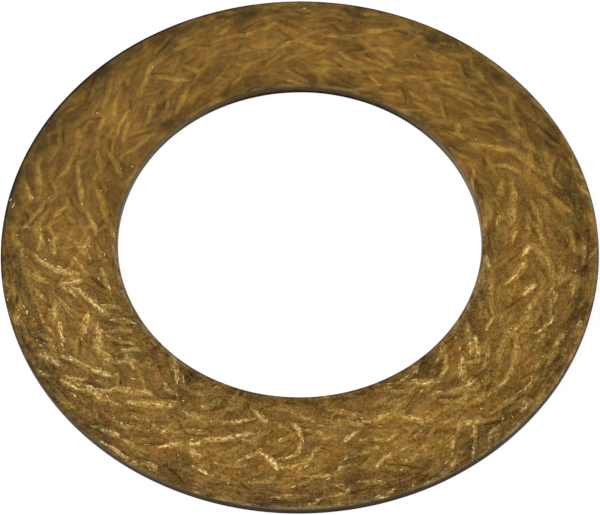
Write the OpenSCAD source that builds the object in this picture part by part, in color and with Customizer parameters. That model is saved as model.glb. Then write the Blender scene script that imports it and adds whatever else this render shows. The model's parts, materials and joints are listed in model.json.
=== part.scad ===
/* [Ring] */
// Outside diameter of the ring
outer_d = 200; // [160:1:300]
// Bore diameter of the ring
bore_d = 122; // [60:1:140]
// Thickness between the two ground faces
thickness = 3.2; // [2.4:0.1:6]

/* [Edges] */
// Width and height of the broken edge at the outside diameter
outer_edge_break = 0.3; // [0.1:0.05:0.8]
// Width and height of the broken edge at the bore
bore_edge_break = 0.25; // [0.1:0.05:0.8]

/* [Winding] */
// Waves that the yarn makes between bore and outside in one turn of the ring
waves_per_turn = 2.2; // [1:0.1:4]
// Width of wound yarn that was trimmed off at each rim
trimmed_width = 4.5; // [2:0.5:8]

/* [Hollows between the turns of yarn] */
// Number of hollows on each face
hollow_count = 104; // [20:1:110]
// Depth of a hollow below the ground face
hollow_depth = 0.25; // [0.04:0.01:0.3]
// Length of the longest hollow
hollow_length = 13; // [6:0.5:16]
// Width of the longest hollow at its middle
hollow_width = 1.3; // [0.6:0.1:2]
// Length of the shortest hollow as a share of the longest
shortest_share = 0.6; // [0.3:0.05:1]
// Width of plain face between the hollows and each rim
rim_land = 1.6; // [1:0.1:3]
// Angle of the first hollow round the ring
first_hollow_angle = 260; // [0:1:359]

/* [Hidden] */
outer_r = outer_d / 2;
bore_r = bore_d / 2;
mid_r = (outer_r + bore_r) / 2;

// The yarn swings this far to either side of the middle of the ring's width
swing = (outer_r - bore_r) / 2 + trimmed_width;
// Which way five turns of yarn in a row slant: 1 outwards, -1 inwards
slants = [1, 1, -1, 1, -1];
// Each hollow lies one golden angle further round than the last, which spreads them evenly
golden_angle = 137.508;
// The lengths of the hollows run through a wave that turns by this angle from one to the next
length_turn = 97;
// Straight pieces along each side of a hollow's outline
side_pieces = 5;
// How far a cutter stands out of the face it cuts
over = 1;

// Slope of the yarn against the circle of radius r, in degrees. The yarn's radius is
// mid_r + swing * sin(waves_per_turn * angle), so the slope is steepest at mid width.
function yarn_slope(r) = atan(waves_per_turn * swing * sqrt(1 - pow((r - mid_r) / swing, 2)) / r);

// Radii between which the middles of the hollows lie, so that their ends stay clear of the rims
first_r = bore_r + rim_land + hollow_length / 2 * sin(yarn_slope(bore_r));
last_r = outer_r - rim_land - hollow_length / 2 * sin(yarn_slope(outer_r));

// Radius of hollow i: its square grows in equal steps, so that each hollow has the same area to itself
function hollow_r(i) =
    sqrt(pow(first_r, 2) + (pow(last_r, 2) - pow(first_r, 2)) * (i + 0.5) / hollow_count);

// Size of hollow i as a share of the longest
function hollow_share(i) = 1 - (1 - shortest_share) * (1 + sin(i * length_turn)) / 2;

// Half section of the ring in the X-Y plane: radius along X, height along Y,
// a rectangle whose four corners are broken at 45 degrees.
module ring_section() {
    polygon([
        [bore_r, bore_edge_break],
        [bore_r + bore_edge_break, 0],
        [outer_r - outer_edge_break, 0],
        [outer_r, outer_edge_break],
        [outer_r, thickness - outer_edge_break],
        [outer_r - outer_edge_break, thickness],
        [bore_r + bore_edge_break, thickness],
        [bore_r, thickness - bore_edge_break]
    ]);
}

// Outline of one hollow along X, its middle at the origin: a lens with pointed ends that is bent
// towards +Y like a circle of radius bend_r. Its lower side runs forwards and its upper side back.
module lens(length, width, bend_r) {
    polygon([
        for (side = [1, -1], k = [0 : side_pieces - 1])
            let (
                t = side * (2 * k / side_pieces - 1),
                x = t * length / 2
            )
            [x, x * x / (2 * bend_r) - side * width / 2 * (1 - t * t)]
    ]);
}

// All hollows of one face, each lengthwise along the yarn where it lies.
module hollow_outlines() {
    for (i = [0 : hollow_count - 1]) {
        r = hollow_r(i);
        slope = slants[i % len(slants)] * yarn_slope(r);
        rotate(first_hollow_angle + i * golden_angle)
            translate([r, 0])
                rotate(90 + slope)
                    lens(hollow_length * hollow_share(i), hollow_width * hollow_share(i), r);
    }
}

// The ring with the hollows sunk into both faces. The lower face has the same hollows in mirror
// image, so that seen from below they slant as those of the upper face do seen from above.
module friction_ring() {
    color([0.46, 0.33, 0.15])
        difference() {
            rotate_extrude($fn = 180) ring_section();
            translate([0, 0, thickness - hollow_depth])
                linear_extrude(hollow_depth + over) hollow_outlines();
            translate([0, 0, -over])
                linear_extrude(hollow_depth + over) mirror([1, 0]) hollow_outlines();
        }
}

friction_ring();
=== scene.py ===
# %% [markdown]
# A friction washer of wound yarn
#
# The washer is one flat ring. It is made by winding a resin-soaked yarn in waves between the bore and the
# outside diameter, pressing the pack flat, curing it, and grinding both faces. Grinding cuts the top of every
# turn of yarn open, so the faces show hundreds of short golden strands in a brown resin, and the side walls
# stay as dark as they came from the mould. This lesson dresses the CAD ring with that surface.

# %% Load the frame
import json

import bpy
import numpy as np
from mathutils import Matrix, Vector


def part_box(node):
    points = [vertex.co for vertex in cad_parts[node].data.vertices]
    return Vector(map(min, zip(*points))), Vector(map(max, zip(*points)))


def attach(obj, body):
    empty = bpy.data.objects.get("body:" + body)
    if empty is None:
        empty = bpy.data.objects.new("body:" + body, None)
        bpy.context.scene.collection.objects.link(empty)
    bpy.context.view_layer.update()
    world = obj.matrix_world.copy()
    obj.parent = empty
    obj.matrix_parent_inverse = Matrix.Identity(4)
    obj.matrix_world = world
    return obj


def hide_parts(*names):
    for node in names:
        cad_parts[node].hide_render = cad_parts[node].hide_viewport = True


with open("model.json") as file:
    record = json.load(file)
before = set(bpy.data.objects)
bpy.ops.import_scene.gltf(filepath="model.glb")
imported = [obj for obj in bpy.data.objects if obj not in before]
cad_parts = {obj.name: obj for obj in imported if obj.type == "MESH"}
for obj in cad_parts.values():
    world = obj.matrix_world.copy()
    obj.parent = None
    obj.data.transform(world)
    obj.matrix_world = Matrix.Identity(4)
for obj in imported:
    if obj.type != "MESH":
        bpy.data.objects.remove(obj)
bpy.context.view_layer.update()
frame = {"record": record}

# %% [markdown]
# Sizes
#
# The CAD model is the only source of sizes. The ring's outside radius and thickness come from its box, and
# the bore's radius from its mount. The numpy work below is all in millimetres, because strands and pores are
# easier to think of that way, and the meshes are scaled to metres at the very end. The two edge breaks are
# the CAD model's too, but no box or mount tells them, so they are repeated here.

# %% Read the ring's sizes
MM = 0.001
ring_low, ring_high = (np.array(corner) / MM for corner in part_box("friction_ring"))
outer_r = float(min(*-ring_low[:2], *ring_high[:2]))
thickness = float(ring_high[2] - ring_low[2])
bore_mount = next(mount for mount in frame["record"]["mounts"] if mount["name"] == "bore")
bore_r = bore_mount["dims"]["r_mm"]
outer_edge_break = 0.3
bore_edge_break = 0.25
mid_r = (outer_r + bore_r) / 2
print(f"ring {2 * outer_r:.1f} x {2 * bore_r:.1f} x {thickness:.2f} mm")

# %% [markdown]
# Which way the yarn runs
#
# The yarn swings between the bore and the outside while the ring turns below it: its radius is
# mid_r + swing * sin(waves * angle). The swing goes a little past both rims, which were trimmed. The yarn
# runs along the circle near the rims and slants most at mid width. One layer swings one way and the next the
# other, and grinding cuts a little deeper in one place than in another, so a patch of the face shows mostly
# one slant. A table says which, every 20 degrees. Nearly all of its slants were measured on the photograph by
# a script, as the main direction of the texture in each patch. A strand has no front or back, so its
# direction is kept as the complex number exp(2i * angle), in which a half turn changes nothing, and
# directions can be averaged by adding them.

# %% The slants of the yarn
trimmed_width = 4.5
swing = (outer_r - bore_r) / 2 + trimmed_width
waves_per_turn = 2.2
# Slant of most strands against the circle, in degrees and positive inwards, near the bore, at mid width and
# near the outside. The first row is for 10 degrees round the ring, and each next row is 20 degrees further.
slant_radii, slant_step = (69, 81, 92), 20
measured_slants = np.array([
    (-18, 8, 25), (33, 43, -1), (24, 18, 1), (-13, -16, 0), (-30, 20, 0), (30, 20, 37),
    (23, -5, 25), (13, 20, -16), (28, -12, 9), (16, 43, 16), (52, -1, 26), (-39, 34, 20),
    (60, 22, 14), (-29, 32, 2), (-7, -18, 10), (19, -9, 12), (20, 2, -1), (-6, -11, -10),
])


def measured_slant(radius, angle):
    """exp(2i * slant) at any place, blended between the four nearest places of the table."""
    doubled = np.exp(2j * np.radians(measured_slants))
    across = np.interp(radius, slant_radii, (0, 1, 2))
    round_it = (np.degrees(angle) / slant_step - 0.5) % len(doubled)
    row, column = np.floor(round_it).astype(int), np.minimum(across.astype(int), 1)
    to_row, to_column = round_it - row, across - column

    def at(row):
        row = row % len(doubled)
        return doubled[row, column] * (1 - to_column) + doubled[row, column + 1] * to_column

    return at(row) * (1 - to_row) + at(row + 1) * to_row


print(f"the yarn swings {swing:.1f} mm to either side of radius {mid_r:.1f} mm")

# %% [markdown]
# In a few places the yarn was laid round in a loop. A loop turns the strands near its centre into rings round
# it, and its pull fades within a short reach.

# %% Loops of yarn
# Each loop: angle round the ring in degrees, radius of its centre, and how far its pull reaches, in mm
yarn_loops = [(178, 80, 11), (264, 77, 7)]


def on_ring(degrees, radius):
    """x and y of a place, from its angle round the ring and its radius."""
    return radius * np.cos(np.radians(degrees)), radius * np.sin(np.radians(degrees))


def loop_pull(x, y):
    """For each loop, its centre, the distance from it, and its pull, which is exp(-(distance / reach)^4)."""
    for degrees, radius, reach in yarn_loops:
        centre_x, centre_y = on_ring(degrees, radius)
        distance = np.hypot(x - centre_x, y - centre_y)
        yield centre_x, centre_y, distance, np.exp(-(distance / reach) ** 4)


# %% [markdown]
# Three directions are added up at each place. The measured slant counts most, the slope of the wave half as
# much, and at a loop's centre the loop counts nearly twice as much. A strand also bends, gently with the ring
# or tightly round a loop. Every strand differs a little from its neighbours.

# %% Direction and bend
TURN = 2 * np.pi
wave_weight, loop_weight = 0.5, 1.8
inward_share, wave_scatter, fewest_waves, most_waves = 0.6, 0.8, 0.6, 4.2
heading_scatter, bend_scatter = 0.17, 0.045
usual_bend_radius, tightest_bend_radius, loop_eye = 60, 9, 4


def yarn_direction(x, y, chance):
    """Angle of the yarn at (x, y): the circle's tangent turned by the slant measured there and by the
    slope of one wave, which is waves * swing * cos / radius, and pulled towards rings round a loop."""
    radius, angle = np.hypot(x, y), np.arctan2(y, x)
    side = np.where(chance.uniform(0, 1, x.size) < inward_share, 1.0, -1.0)
    waves = waves_per_turn + chance.normal(0, wave_scatter, x.size)
    waves = np.clip(waves, fewest_waves, most_waves)
    cosine = np.sqrt(1 - np.clip((radius - mid_r) / swing, -0.95, 0.95) ** 2)
    wave_slant = np.arctan(side * waves * swing * cosine / radius)
    doubled = measured_slant(radius, angle) + wave_weight * np.exp(2j * wave_slant)
    doubled = doubled * np.exp(2j * (angle + TURN / 4))
    for centre_x, centre_y, distance, pull in loop_pull(x, y):
        round_loop = np.arctan2(y - centre_y, x - centre_x) + TURN / 4
        doubled = doubled + loop_weight * pull * np.exp(2j * round_loop)
    return np.angle(doubled) / 2 + chance.normal(0, heading_scatter, x.size)


def yarn_bend(x, y, heading, chance):
    """Curvature of a strand in 1/mm, positive to its left: it bends with the ring, or round a loop, and
    less in the loop's eye, where the rings would be too small for it."""
    left_x, left_y = -np.sin(heading), np.cos(heading)
    bend = -(x * left_x + y * left_y) / np.hypot(x, y) / usual_bend_radius
    for centre_x, centre_y, distance, pull in loop_pull(x, y):
        inward = ((centre_x - x) * left_x + (centre_y - y) * left_y) / np.maximum(distance, loop_eye)
        bend = bend * (1 - pull) + pull * inward / np.maximum(distance, tightest_bend_radius)
    return bend + chance.normal(0, bend_scatter, x.size)


# %% [markdown]
# The strands that catch the eye
#
# The clearest strands of the upper face are laid one by one, from one end to the other, because they make
# this ring this ring. Chance alone would give a ring of the same kind, but another one.

# %% The clearest strands
# Each row: angle in degrees and radius of one end, the same of the other end, width, how far the middle bows
# out of the straight line to the left, and tone from 0, dull, to 1, pale. Lengths are in mm.
clear_strands = np.array([
    (3, 95, 13, 83, 2.4, 0.0, 0.52), (1, 81.5, 10, 80, 2.0, 0.0, 0.67), (2, 71, 16, 76, 2.0, -0.5, 0.72),
    (3, 66.5, 6, 69, 2.0, 0.0, 0.77), (11, 68.5, 19, 73, 2.6, -0.5, 0.52),
    (17, 80.5, 22.5, 69.5, 2.2, -1.6, 0.77), (17, 82.5, 24, 88, 2.2, 0.0, 0.57),
    (22.5, 83, 28.5, 73, 2.6, -0.8, 0.87), (28.5, 74, 31.5, 70, 1.9, 0.4, 0.67),
    (31.5, 86.5, 38, 76.5, 1.7, -0.4, 0.67), (33, 88.5, 36.7, 92.3, 1.8, -0.6, 0.72),
    (25.5, 97.5, 33, 92.5, 2.0, 0.0, 0.49), (36.8, 69, 38.5, 71, 2.0, 0.0, 1.00),
    (27.5, 65.5, 33, 63, 2.1, 0.6, 0.67), (42.5, 88.2, 49, 85, 2.0, -1.0, 0.62),
    (51, 86, 58, 79.5, 1.6, 0.3, 0.65), (62, 94, 65.5, 85, 2.2, 0.3, 0.45),
    (69, 82, 76, 85.5, 2.2, 0.5, 0.50), (69, 97, 77, 92.5, 1.4, 0.0, 0.42),
    (81, 96, 88.5, 90, 1.6, 0.0, 0.45), (83, 84, 95.5, 94.5, 1.3, 0.0, 0.45),
    (90, 84.5, 94, 89, 2.6, 0.0, 0.48), (100.3, 84.5, 108.5, 87.3, 1.6, -1.4, 0.55),
    (80.5, 70.8, 85, 69, 1.8, 0.0, 0.62), (102, 74.5, 106.5, 69.5, 1.6, -0.6, 0.55),
    (108, 76, 118, 68.5, 1.4, 0.3, 0.50), (116, 75.5, 119.5, 81, 2.2, 0.0, 0.78),
    (121, 75.5, 127, 83, 1.7, 0.0, 0.78), (124.5, 89.8, 133.5, 80.2, 2.0, -0.6, 0.80),
    (135.5, 87.5, 142.8, 81, 1.8, -0.3, 0.76), (138, 80.5, 146.8, 75.6, 1.6, 0.4, 0.91),
    (133, 95, 143, 85.5, 1.6, -0.2, 0.61), (143.5, 84.5, 149.2, 81, 1.3, 0.0, 0.81),
    (130.5, 76.5, 140, 69.9, 2.2, 0.6, 0.80), (121.5, 73.8, 130.5, 66, 2.2, 0.6, 0.78),
    (141.5, 74.6, 147.2, 72.4, 1.7, 0.0, 0.88), (138, 65.5, 150.5, 67.8, 1.4, 0.2, 0.64),
    (150, 88, 154, 85, 3.0, 0.0, 0.56), (154.5, 85, 166, 86.5, 1.4, 1.2, 0.66),
    (153.5, 77.2, 158.5, 72.8, 1.6, -0.3, 0.86), (152.3, 74.5, 158.2, 65.5, 2.0, 0.5, 0.72),
    (158, 81.8, 169.2, 74.8, 2.2, -0.3, 0.96), (170.2, 75.3, 178.8, 68.2, 2.1, 0.8, 0.80),
    (163.5, 72.5, 174.8, 65, 2.2, 0.5, 0.76), (161.5, 94.5, 167.5, 90.2, 2.0, -0.2, 0.81),
    (166, 97, 170.7, 92.3, 1.7, 0.0, 0.84), (170.3, 87, 177.5, 92.7, 1.6, 0.4, 0.74),
    (172, 85, 181, 87.5, 2.3, -1.6, 0.62), (171.5, 79.5, 174, 83, 1.8, 0.0, 0.85),
    (180, 87, 183, 87, 2.1, 0.0, 0.88), (181, 82.6, 184.2, 82, 2.5, 0.0, 0.92),
    (184, 89.5, 191.8, 74, 2.5, -1.8, 0.90), (180.3, 77.5, 187, 70.5, 2.5, 0.4, 0.82),
    (180, 70.5, 184.5, 72, 2.5, 0.0, 0.80), (192.6, 81.5, 193.4, 73.5, 2.2, 0.0, 0.80),
    (194, 78.2, 205.2, 70, 1.9, 0.2, 0.97), (202.5, 71.5, 205, 65.5, 2.1, 0.5, 0.70),
    (197, 83.8, 202.5, 86.8, 2.9, 0.0, 0.75), (202, 85.3, 207.3, 86.5, 1.9, -0.3, 0.80),
    (203, 76, 207.7, 79.7, 2.3, 0.0, 0.86), (207, 74, 213.8, 79.2, 2.9, 0.3, 0.88),
    (211, 89, 220.4, 81.2, 2.4, 0.0, 0.92), (215.5, 94.5, 222, 87, 2.2, -0.4, 0.85),
    (221.5, 87.5, 231, 76.5, 1.9, 0.7, 0.82), (216.8, 78.8, 221.5, 71.5, 2.7, 0.0, 0.72),
    (228.3, 83.8, 237.2, 76, 2.3, 0.2, 0.92), (208, 96, 211.6, 91.8, 1.9, 0.0, 0.92),
    (226.5, 96.6, 232, 94, 1.3, 0.2, 0.88), (230, 98.9, 238, 98.8, 1.2, 0.0, 0.90),
    (189.5, 89.5, 192.3, 85, 1.7, 0.0, 0.66), (240, 91, 243.5, 86, 1.5, 0.3, 0.85),
    (243.5, 87, 258.3, 75.5, 2.2, 0.4, 0.92), (260.8, 80.8, 264.8, 86.5, 2.1, 0.3, 1.00),
    (265.8, 82.8, 270, 76.8, 1.4, -1.6, 0.90), (270.6, 75.8, 268, 70.5, 1.7, -0.5, 0.88),
    (269.5, 87, 274.3, 79, 1.4, 0.6, 0.70), (279, 78.7, 283.8, 75.8, 1.5, 0.0, 0.75),
    (277, 66.3, 284.5, 70.3, 1.8, 0.3, 0.65), (286.5, 73, 292.5, 72.8, 1.3, -0.5, 0.82),
    (295, 75.3, 300.5, 82, 2.1, 0.0, 0.86), (294.5, 65.5, 301, 68.5, 1.6, -0.4, 0.65),
    (302.4, 99.5, 307.6, 89.5, 1.4, -0.3, 0.86), (300, 94.5, 302.7, 88.3, 1.6, 0.0, 0.75),
    (304, 87, 309.2, 90, 1.5, 0.2, 0.88), (306, 74.5, 313.5, 81, 2.6, 0.3, 0.66),
    (301, 66.5, 307.5, 71, 2.6, 0.4, 0.80), (313.5, 75.8, 317.3, 71.2, 2.3, 0.0, 0.92),
    (320, 74.8, 325.3, 69.3, 1.4, 0.0, 0.92), (320.5, 71.8, 327.3, 64.8, 2.4, 0.2, 0.74),
    (309, 71.3, 312.4, 68.8, 1.5, 0.0, 0.88), (321.5, 81, 332, 77.3, 1.9, 0.7, 0.62),
    (322, 86.5, 329, 81.8, 1.7, 0.0, 0.64), (333.5, 86, 338.2, 89.2, 1.2, -0.2, 0.97),
    (342, 77.3, 344.7, 79.8, 2.3, 0.0, 1.00), (344, 71.3, 350.5, 75.3, 2.9, -0.3, 0.91),
    (346.3, 87.8, 349.3, 91.2, 2.1, 0.0, 0.71), (347, 86.3, 356.5, 78, 3.0, -1.0, 0.67),
    (353, 74.7, 355.8, 76.8, 2.0, 0.0, 0.95), (332.5, 71, 342, 66.2, 1.6, 0.4, 0.62),
    (331.5, 81.3, 339, 84, 2.2, -0.4, 0.58), (310, 89.5, 320, 92.5, 1.6, -0.6, 0.66),
    (231.5, 71.3, 236, 72, 1.6, 0.0, 0.82),
])
print(f"{len(clear_strands)} clear strands")

# %% [markdown]
# A strand is one row of a table, with its middle, direction, curvature, half length, half width and tone,
# which says how pale it is. All strands and hollows are kept in such tables. A strand fades out at its ends
# and sides, so it is made a little longer and wider there than the part that shows.

# %% Lay the clear strands
faded_end, faded_side = 1.0, 0.4


def strand_table(x, y, heading, bend, half_length, half_width, tone):
    """One row a strand: its middle, direction, curvature, size and tone."""
    return {"x": x, "y": y, "heading": heading, "bend": bend, "half_length": half_length,
            "half_width": half_width, "tone": tone}


def lay(strands):
    """Strands between given ends. A strand whose middle bows out to the left bends to the right, by
    8 * bow / length^2, and its centre lies to the left of the straight line's middle by the bow."""
    ends_x, ends_y = on_ring(strands[:, [0, 2]], strands[:, [1, 3]])
    width, bow, tone = strands[:, 4:].T
    run_x, run_y = ends_x[:, 1] - ends_x[:, 0], ends_y[:, 1] - ends_y[:, 0]
    length = np.hypot(run_x, run_y)
    x, y = ends_x.mean(1) - bow * run_y / length, ends_y.mean(1) + bow * run_x / length
    return strand_table(x, y, np.arctan2(run_y, run_x), -8 * bow / length ** 2,
                        length / 2 + faded_end, width / 2 + faded_side, tone)


laid = lay(clear_strands)
print(f"with their faded ends they are {2 * laid['half_length'].mean():.1f} mm long on average")

# %% [markdown]
# The hollows
#
# Where two turns of yarn part, the resin sank and left a pointed hollow that grinding did not reach. The CAD
# model sinks 104 of them into each face, set out like the seeds of a sunflower head: each is one golden angle
# further round than the last, and the square of its radius grows in equal steps. The rule is repeated here
# with the same sizes. A hollow has the form of a strand, only that it goes down instead of up, so the same
# table holds both, and a turn of yarn runs along one side of each hollow.

# %% Find the hollows
golden_angle = np.radians(137.508)
slants = np.array([1, 1, -1, 1, -1])
hollow_count, hollow_depth, hollow_length, hollow_width = 104, 0.25, 13.0, 1.3
shortest_share, rim_land, first_hollow_angle = 0.6, 1.6, np.radians(260)


def yarn_slope(radius):
    """Angle between the yarn and the circle of that radius, from the slope of mid_r + swing * sin(waves *
    angle): the arctangent of waves * swing * cos(waves * angle) / radius."""
    return np.arctan(waves_per_turn * swing * np.sqrt(1 - ((radius - mid_r) / swing) ** 2) / radius)


def find_hollows():
    """The upper face's hollows as a table of strands. Radius^2 grows in equal steps from the first to the
    last, the angle by the golden angle, and the size goes through a slow wave."""
    number = np.arange(hollow_count)
    first_r = bore_r + rim_land + hollow_length / 2 * np.sin(yarn_slope(bore_r))
    last_r = outer_r - rim_land - hollow_length / 2 * np.sin(yarn_slope(outer_r))
    radius = np.sqrt(first_r ** 2 + (last_r ** 2 - first_r ** 2) * (number + 0.5) / hollow_count)
    angle = first_hollow_angle + number * golden_angle
    share = 1 - (1 - shortest_share) * (1 + np.sin(np.radians(number * 97))) / 2
    heading = angle + TURN / 4 + slants[number % 5] * yarn_slope(radius)
    return strand_table(radius * np.cos(angle), radius * np.sin(angle), heading, 1 / radius,
                        hollow_length / 2 * share, hollow_width / 2 * share, np.ones(hollow_count))


def mirrored(table):
    """The lower face has the same hollows with x turned into -x."""
    return {**table, "x": -table["x"], "heading": TURN / 2 - table["heading"], "bend": -table["bend"]}


def turns_beside(table, chance):
    """A turn of yarn along one side of each hollow: as far aside as the hollow's half width and most of the
    turn's own, and moved a little lengthwise."""
    count = len(table["x"])
    side = np.where(chance.uniform(0, 1, count) < 0.5, -1, 1)
    half_width = chance.uniform(0.8, 1.2, count)
    aside, on = side * (table["half_width"] + half_width * 0.8), chance.normal(0, 1.5, count)
    cosine, sine = np.cos(table["heading"]), np.sin(table["heading"])
    x, y = table["x"] - aside * sine + on * cosine, table["y"] + aside * cosine + on * sine
    return {**table, "x": x, "y": y, "half_length": table["half_length"] * chance.uniform(0.6, 1.1, count),
            "half_width": half_width, "tone": chance.uniform(0.0, 0.6, count)}


upper_hollows = find_hollows()
lower_hollows = mirrored(upper_hollows)
print(f"{hollow_count} hollows in each face, the longest {2 * upper_hollows['half_length'].max():.1f} mm")

# %% [markdown]
# The other strands
#
# All other strands are set out by the sunflower rule too, because it spreads them evenly without rows or
# rings. Random moves of a millimetre or two then hide the rule. Strands whose middles would lie close to one
# that is there already are left out. At the back left the strands are fainter than elsewhere.

# %% Set out the others
faint_middle, faint_share = np.radians(142), 0.3
place_scatter = 1.5
least_apart, apart_for_length = 1.2, 0.32
from_rims = 1


def smooth_step(low, high, value):
    """0 below low, 1 above high, and the curve 3 t^2 - 2 t^3 between them; low may be the greater one."""
    t = np.clip((value - low) / (high - low), 0, 1)
    return t * t * (3 - 2 * t)


def set_out(count, half_length, half_width, tone, seed, keep_clear_of=None):
    """Strands spread evenly over the ring: radius^2 grows in equal steps, and the angle by the golden angle.
    Length, width and tone are drawn from their ranges. A strand goes if its middle is closer to another's
    than a fixed distance and a share of the other's half length."""
    chance = np.random.default_rng(seed)
    step = (np.arange(count) + 0.5) / count
    first_r, last_r = bore_r + from_rims, outer_r - from_rims
    radius = np.sqrt(first_r ** 2 + (last_r ** 2 - first_r ** 2) * step)
    angle = np.arange(count) * golden_angle
    x = radius * np.cos(angle) + chance.normal(0, place_scatter, count)
    y = radius * np.sin(angle) + chance.normal(0, place_scatter, count)
    heading = yarn_direction(x, y, chance)
    bend = yarn_bend(x, y, heading, chance)
    table = strand_table(x, y, heading, bend, chance.uniform(*half_length, count),
                         chance.uniform(*half_width, count), chance.uniform(*tone, count))
    fainter = smooth_step(0.65, 0.95, np.cos(np.arctan2(y, x) - faint_middle))
    table["tone"] = table["tone"] * (1 - faint_share * fainter)
    if keep_clear_of is not None:
        apart = np.hypot(x[:, None] - keep_clear_of["x"], y[:, None] - keep_clear_of["y"])
        free = (apart > least_apart + apart_for_length * keep_clear_of["half_length"]).all(axis=1)
        table = {name: values[free] for name, values in table.items()}
    return table


# %% [markdown]
# Smooth random fields
#
# Nothing on a pressed ring is quite regular, so the next steps need a smooth random number at every point.
# A noise texture would do in a material, but the mesh needs the same numbers. A sum of plane waves in random
# directions is as smooth as noise, works on whole arrays, and is the same on every run because it is seeded.

# %% A smooth random field
def ripple(x, y, wavelength, seed, waves=20):
    """Smooth random field of unit spread: sqrt(2 / waves) times the sum of cos(pitch * distance + phase) over
    plane waves, each about one wavelength long, that run in random directions with random phases."""
    chance = np.random.default_rng(seed)
    heading = chance.uniform(0, TURN, waves)
    pitch = TURN / (wavelength * chance.uniform(0.75, 1.35, waves))
    phase = chance.uniform(0, TURN, waves)
    along = np.asarray(x)[..., None] * np.cos(heading) + np.asarray(y)[..., None] * np.sin(heading)
    return np.sqrt(2 / waves) * np.cos(pitch * along + phase).sum(-1)


# %% [markdown]
# Stamping strands on the mesh's grid
#
# Strands could be tubes of their own, but grinding has cut them all to one plane, so a height kept at each
# point of the face says the same with far fewer faces. The face is a grid of radii and angles. A strand
# covers only a small window of it, so for each strand the window is taken, turned into the strand's own
# lengthwise and sideways distances, and compared with what is there. Where two strands meet, the higher one
# wins, as the upper turn does on a ground face.

# %% Stamp the strands
columns = 900
column_angle = np.arange(columns) * TURN / columns
wobble, wobble_length = 0.22, 9


def stamp(face_r, strands):
    """Fields on the grid of face_r by column_angle. A strand's height is 1 on its middle line and falls as
    the squares of the sideways distance over its half width and of the lengthwise distance over its half
    length, so its outline, where the height is 0, is an ellipse bent along a parabola. It is a little wider
    at one end, and a pale strand stands higher. The yarn is soft, so the whole pack is then pushed about by
    a few tenths of a millimetre, which makes every strand wavy."""
    even_x, even_y = (face_r[:, None] * turned for turned in (np.cos(column_angle), np.sin(column_angle)))
    grid_x = even_x + wobble * ripple(even_x, even_y, wobble_length, 41)
    grid_y = even_y + wobble * ripple(even_x, even_y, wobble_length, 42)
    fields = {"height": np.full(grid_x.shape, -1.0)}
    fields.update({name: np.zeros(grid_x.shape) for name in ("across", "along", "tone", "end")})
    for x, y, heading, bend, half_length, half_width, tone in zip(*strands.values()):
        reach = half_length + 2 * half_width
        centre_r = np.hypot(x, y)
        near_rows = np.flatnonzero(np.abs(face_r - centre_r) < reach)
        span = int(np.ceil(reach / centre_r * columns / TURN)) + 1
        first = int(round(np.arctan2(y, x) * columns / TURN)) - span
        window = np.ix_(near_rows, np.arange(first, first + 2 * span + 1) % columns)
        dx, dy = grid_x[window] - x, grid_y[window] - y
        along = dx * np.cos(heading) + dy * np.sin(heading)
        across = dy * np.cos(heading) - dx * np.sin(heading) - bend * along ** 2 / 2
        end = along / half_length * (1 if tone > 0.5 else -1)
        width = half_width * (0.85 + 0.15 * end)
        height = (1 - (across / width) ** 2 - (along / half_length) ** 2) * (0.72 + 0.28 * tone)
        wins = height > fields["height"][window]
        found = {"height": height, "across": across, "along": along, "tone": tone, "end": end}
        for name, value in found.items():
            fields[name][window] = np.where(wins, value, fields[name][window])
    return fields


# %% [markdown]
# The ring as one closed surface
#
# A turned part is a profile carried round its axis. A Screw modifier could do that, but here every point
# needs a height of its own, so the grid is worked out. The profile is closed: out along the upper face, over
# the edge break, down the outer wall, in along the lower face and up the bore. Row i of the grid is a point
# of the profile and column j an angle, so the mesh closes on itself both ways and has no seam or pole.

# %% Lay out the profile
upper_rows, lower_rows, wall_rows = 60, 32, 7
face_low, face_high = bore_r + bore_edge_break, outer_r - outer_edge_break
crisp_edge = 0.12


def face_radii(count):
    """Radii of a face's rows from bore to outside, with one more close to each edge to keep it crisp."""
    inner = np.linspace(face_low + crisp_edge, face_high - crisp_edge, count - 2)
    return np.concatenate([[face_low], inner, [face_high]])


def by_part(upper, outer_wall, lower, bore_wall):
    """A value for each row of the profile, by the part of the ring that the row is on."""
    return np.repeat([upper, outer_wall, lower, bore_wall], [upper_rows, wall_rows, lower_rows, wall_rows])


upper_r, lower_r = face_radii(upper_rows), face_radii(lower_rows)[::-1]
outer_wall_z = np.linspace(thickness - outer_edge_break, outer_edge_break, wall_rows)
bore_wall_z = np.linspace(bore_edge_break, thickness - bore_edge_break, wall_rows)
profile_r = np.concatenate([upper_r, np.full(wall_rows, outer_r), lower_r, np.full(wall_rows, bore_r)])
profile_z = np.concatenate([np.full(upper_rows, thickness), outer_wall_z, np.zeros(lower_rows), bore_wall_z])
is_wall = by_part(0, 1, 0, 1)
print(f"profile of {profile_r.size} points, {2 * profile_r.size * columns} triangles")

# %% [markdown]
# Both faces
#
# Each face is stamped three times: with the open strands, which grinding cut, with the buried turns, which
# show through the resin, and with the hollows. The upper face's open strands are the laid ones, the turns
# beside the hollows, clear ones between these, and last dull ones where there is still room.

# %% Work out both faces
def together(first, second):
    """Two tables as one."""
    return {name: np.concatenate([first[name], second[name]]) for name in first}


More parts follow.
